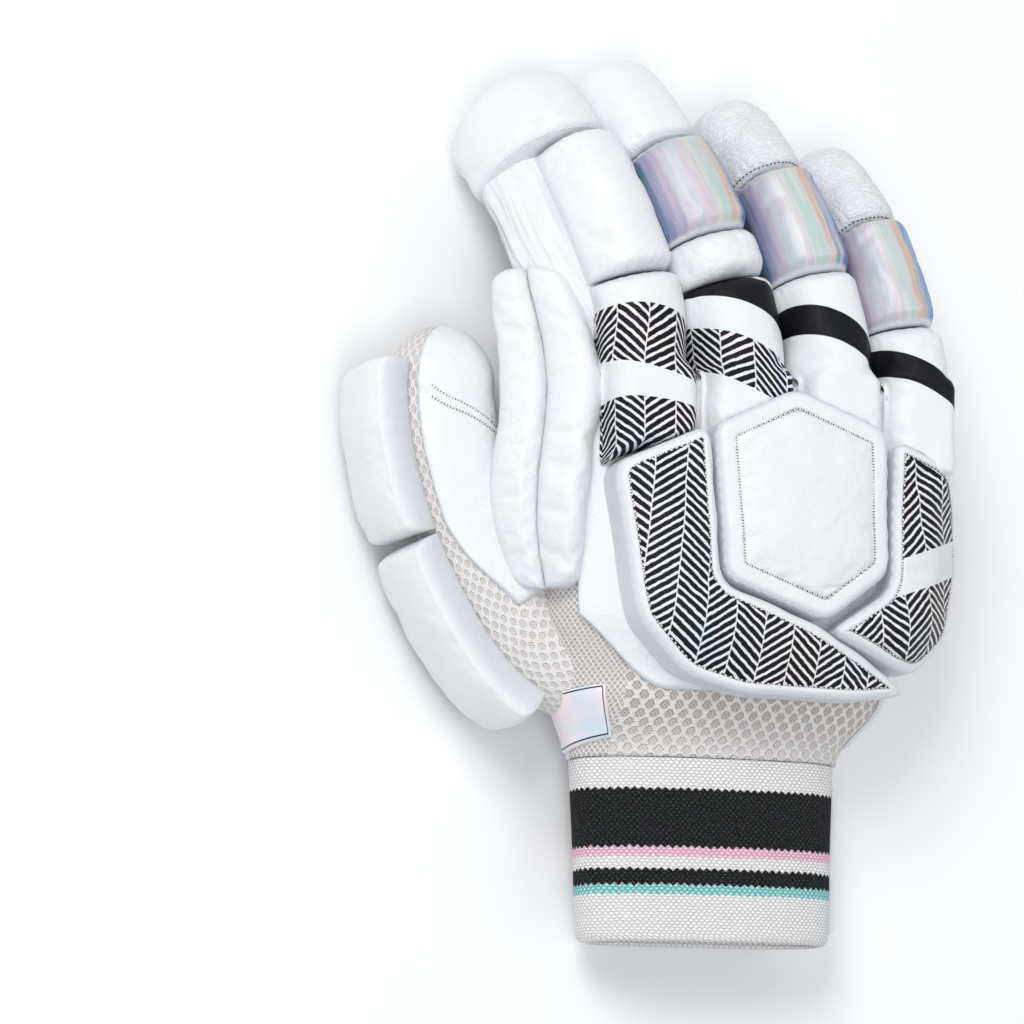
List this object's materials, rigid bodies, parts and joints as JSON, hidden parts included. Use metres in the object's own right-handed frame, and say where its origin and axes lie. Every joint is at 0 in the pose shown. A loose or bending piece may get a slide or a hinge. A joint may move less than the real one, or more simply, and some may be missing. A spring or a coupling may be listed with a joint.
{
  "type": "cricket batting glove",
  "caption": "Right-hand cricket batting glove with padded finger sausages, backhand plates, mesh back and knitted wristband, lying palm down.",
  "frame": {"origin": "middle of the bounding box on the floor under the glove", "axes": "+Y from the wrist to the fingertips, +Z out of the back of the hand, thumb at -X"},
  "size_m": [0.2072, 0.2896, 0.075],
  "materials": {
    "white_leather": "smooth white leather, satin",
    "grained_leather": "white leather with a wrinkled grain",
    "air_mesh": "off-white spacer mesh, matt",
    "knit": "ribbed knit with black, pink and teal stripes, matt",
    "foil": "silver foil-faced leather with a pastel rainbow sheen",
    "patterned_leather": "white leather with a black herringbone print, satin",
    "striped_leather": "white leather with black bands, satin",
    "strap_leather": "smooth white coated fabric strap, satin"
  },
  "bodies": {
    "root": {"backhand_base": "white_leather", "bolster_inner": "white_leather", "bolster_outer": "white_leather", "centre_plate": "white_leather", "hand_back": "air_mesh", "index_knuckle_pad": "patterned_leather", "index_middle_pad": "white_leather", "index_palm_strip": "white_leather", "index_sleeve": "air_mesh", "index_tip_cap": "white_leather", "label_tab": "foil", "little_foil_pad": "foil", "little_knuckle_pad": "striped_leather", "little_palm_strip": "white_leather", "little_side_plate": "patterned_leather", "little_sleeve": "air_mesh", "little_tip_cap": "grained_leather", "middle_foil_pad": "foil", "middle_joint_roll": "white_leather", "middle_knuckle_pad": "patterned_leather", "middle_palm_strip": "white_leather", "middle_sleeve": "air_mesh", "middle_tip_cap": "white_leather", "palm_leather": "white_leather", "ring_foil_pad": "foil", "ring_knuckle_pad": "striped_leather", "ring_palm_strip": "white_leather", "ring_sleeve": "air_mesh", "ring_tip_cap": "grained_leather", "side_panel": "white_leather", "thumb_base_pad": "white_leather", "thumb_face_leather": "white_leather", "thumb_patch": "white_leather", "thumb_side_plate": "patterned_leather", "thumb_sleeve": "air_mesh", "thumb_tip_pad": "white_leather", "wrist_strap": "strap_leather", "wristband": "knit"}
  },
  "joints": []
}
